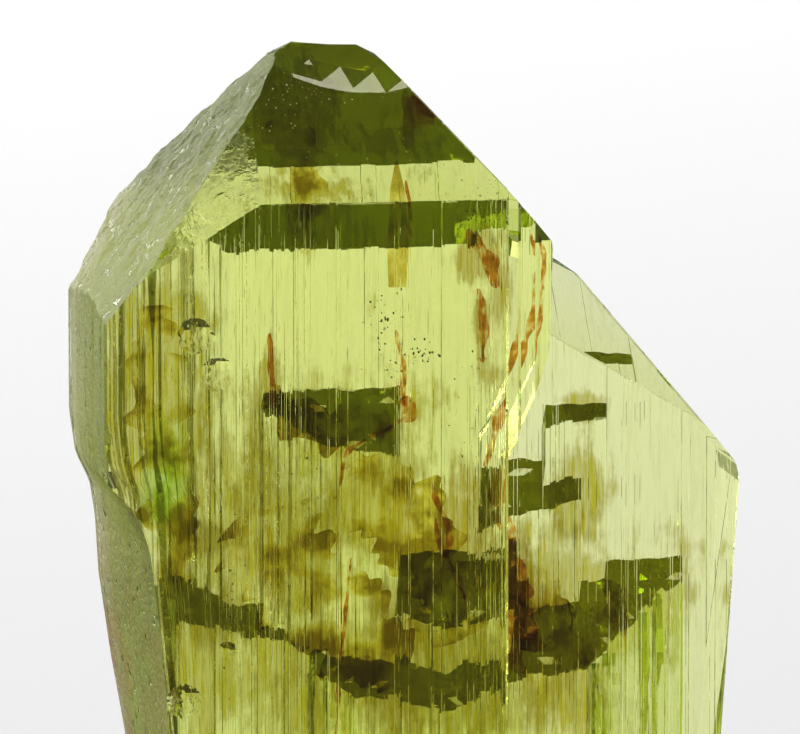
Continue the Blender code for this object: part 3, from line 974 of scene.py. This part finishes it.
COLUMN_ROUTE = [(-0.4, 2.9, 29.3), (-0.34, 2.9, 28.14), (-0.44, 2.9, 26.92)]
column = ribbon("olive_column", 0.20, 0.20, COLUMN_ROUTE)
column.data.materials.append(needle_olive)
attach(column, "root")

# The specks. Tiny dark grains of iron ore lie in swarms behind the front face.
SWARMS = [
    # x, depth and height of the middle, spread along each, count, largest radius
    ((-1.6, 0.6, 22.0), (0.6, 0.5, 1.0), 46, 0.045),
    ((-0.2, 0.6, 20.9), (0.6, 0.4, 0.6), 30, 0.045),
    ((-1.1, 0.5, 20.0), (1.4, 0.4, 1.6), 44, 0.032),
    ((-3.9, 0.5, 17.2), (0.7, 0.4, 0.5), 22, 0.04),
    ((-6.8, 0.5, 13.0), (0.5, 0.3, 3.0), 46, 0.035),
    ((1.2, 0.5, 25.4), (0.7, 0.4, 0.4), 20, 0.04),
    ((-4.5, 0.5, 15.8), (0.8, 0.3, 0.4), 20, 0.035),
    ((1.3, 0.5, 19.0), (0.8, 0.4, 2.6), 30, 0.035),
]
SHALLOWEST_SPECK = 0.2
ORE_DARK = (0.02, 0.008, 0.003, 1.0)
ORE_LIGHT = (0.16, 0.06, 0.012, 1.0)
rng = random.Random(77)
placings = []
for middle, spread, count, largest in SWARMS:
    for _ in range(count):
        spot = Vector([rng.gauss(middle[axis], 0.5 * spread[axis]) for axis in range(3)])
        spot.y = max(SHALLOWEST_SPECK, spot.y)
        size = largest * rng.uniform(0.35, 1.0) ** 1.5
        tall = size * rng.uniform(0.7, 1.6)
        shape = Matrix.Diagonal((size * MM, size * MM, tall * MM, 1.0))
        placings.append(Matrix.Translation(at(*spot)) @ shape)
bpy.ops.object.select_all(action="DESELECT")
bpy.ops.mesh.primitive_ico_sphere_add(subdivisions=1, radius=1.0)
specks = bpy.context.object
specks.name = "specks"
for placing in placings[1:]:
    speck = specks.copy()
    speck.data = specks.data.copy()
    speck.data.transform(placing)
    bpy.context.collection.objects.link(speck)
    speck.select_set(True)
specks.data.transform(placings[0])
bpy.context.view_layer.objects.active = specks
bpy.ops.object.join()
ore = bpy.data.materials.new("iron_ore")
ore.use_nodes = True
ore_shader = ore.node_tree.nodes["Principled BSDF"]
ore_spot = ore.node_tree.nodes.new("ShaderNodeTexCoord")
ore_grain = ore.node_tree.nodes.new("ShaderNodeTexNoise")
ore_grain.inputs["Scale"].default_value = 4000.0
ore_colours = ore.node_tree.nodes.new("ShaderNodeValToRGB")
ore_colours.color_ramp.elements[0].color = ORE_DARK
ore_colours.color_ramp.elements[1].color = ORE_LIGHT
ore.node_tree.links.new(ore_spot.outputs["Object"], ore_grain.inputs["Vector"])
ore.node_tree.links.new(ore_grain.outputs["Fac"], ore_colours.inputs["Fac"])
ore.node_tree.links.new(ore_colours.outputs["Color"], ore_shader.inputs["Base Color"])
ore_shader.inputs["Roughness"].default_value = 0.6
specks.data.materials.append(ore)
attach(specks, "root")

# The floor and the studio light. The crystal stands on white paper. The paper is left out of
# reflections, which keeps the polished front face from going grey.
FLOOR_SIZE = 4.0
FLOOR_DROP = 0.05 * MM
PAPER_WHITE = (0.85, 0.85, 0.85, 1.0)
bpy.ops.object.select_all(action="DESELECT")
bpy.ops.mesh.primitive_plane_add(size=FLOOR_SIZE, location=(0.0, 0.0, -FLOOR_DROP))
floor = bpy.context.object
floor.name = "floor"
paper = bpy.data.materials.new("floor_paper")
paper.use_nodes = True
paper_shader = paper.node_tree.nodes["Principled BSDF"]
paper_shader.inputs["Base Color"].default_value = PAPER_WHITE
paper_shader.inputs["Roughness"].default_value = 0.9
floor.data.materials.append(paper)
floor.visible_glossy = False

world = bpy.data.worlds.new("studio")
bpy.context.scene.world = world
world.use_nodes = True
sky = world.node_tree.nodes["Background"]
sky.inputs["Color"].default_value = (1.0, 1.0, 1.0, 1.0)
sky.inputs["Strength"].default_value = 0.12


def soft_light(name, place, aim, width, height, power):
    """A soft light of a width and height in metres and a power in watts, aimed at a point."""
    lamp = bpy.data.lights.new(name, "AREA")
    lamp.shape = "RECTANGLE"
    lamp.size = width
    lamp.size_y = height
    lamp.energy = power
    light = bpy.data.objects.new(name, lamp)
    bpy.context.collection.objects.link(light)
    light.location = place
    light.rotation_euler = (Vector(aim) - Vector(place)).to_track_quat("-Z", "Y").to_euler()


# The two large lights stand behind and above, so that most light comes through the stone.
soft_light("back_light", (0.0, 0.9, 0.9), (0.0, 0.35, 0.0), 1.4, 0.9, 9.2)
soft_light("top_light", (0.0, 0.50, 0.95), (0.0, 0.0, 0.015), 0.8, 0.5, 4.8)
soft_light("left_light", (-0.45, -0.22, 0.45), (0.0, 0.0, 0.02), 0.25, 0.25, 0.8)
soft_light("rim_light", (-0.28, 0.75, 0.22), (0.0, 0.0, 0.02), 0.30, 0.30, 1.1)
soft_light("low_rim_light", (-0.36, 0.60, 0.07), (0.0, 0.0, 0.02), 0.22, 0.10, 0.8)

# The camera stands a little left of the front and looks slightly down, as in the photograph.
CAMERA_TURN = math.radians(-10.0)
CAMERA_RISE = math.radians(8.0)
CAMERA_DISTANCE = 0.400
PICTURE_WIDTH = 800.0
PIXELS_PER_METRE = 30000.0
aim = at(-1.08, 0.0, 20.4)
back = Vector((
    math.sin(CAMERA_TURN) * math.cos(CAMERA_RISE),
    -math.cos(CAMERA_TURN) * math.cos(CAMERA_RISE),
    math.sin(CAMERA_RISE),
))
lens = bpy.data.cameras.new("camera")
camera = bpy.data.objects.new("camera", lens)
bpy.context.collection.objects.link(camera)
camera.location = aim + back * CAMERA_DISTANCE
camera.rotation_euler = (-back).to_track_quat("-Z", "Y").to_euler()
lens.sensor_fit = "HORIZONTAL"
lens.sensor_width = 36.0
lens.lens = lens.sensor_width * CAMERA_DISTANCE * PIXELS_PER_METRE / PICTURE_WIDTH
lens.clip_start = 0.01
lens.clip_end = 20.0
bpy.context.scene.camera = camera
scene = bpy.context.scene
scene.view_settings.view_transform = "Standard"
# Light crosses the stone many times, and smooth areas stop sampling early to keep the render short.
CROSSINGS = 14
scene.cycles.max_bounces = CROSSINGS
scene.cycles.transmission_bounces = CROSSINGS
scene.cycles.glossy_bounces = 12
scene.cycles.transparent_max_bounces = 32
scene.cycles.adaptive_threshold = 0.04
scene.cycles.adaptive_min_samples = 24
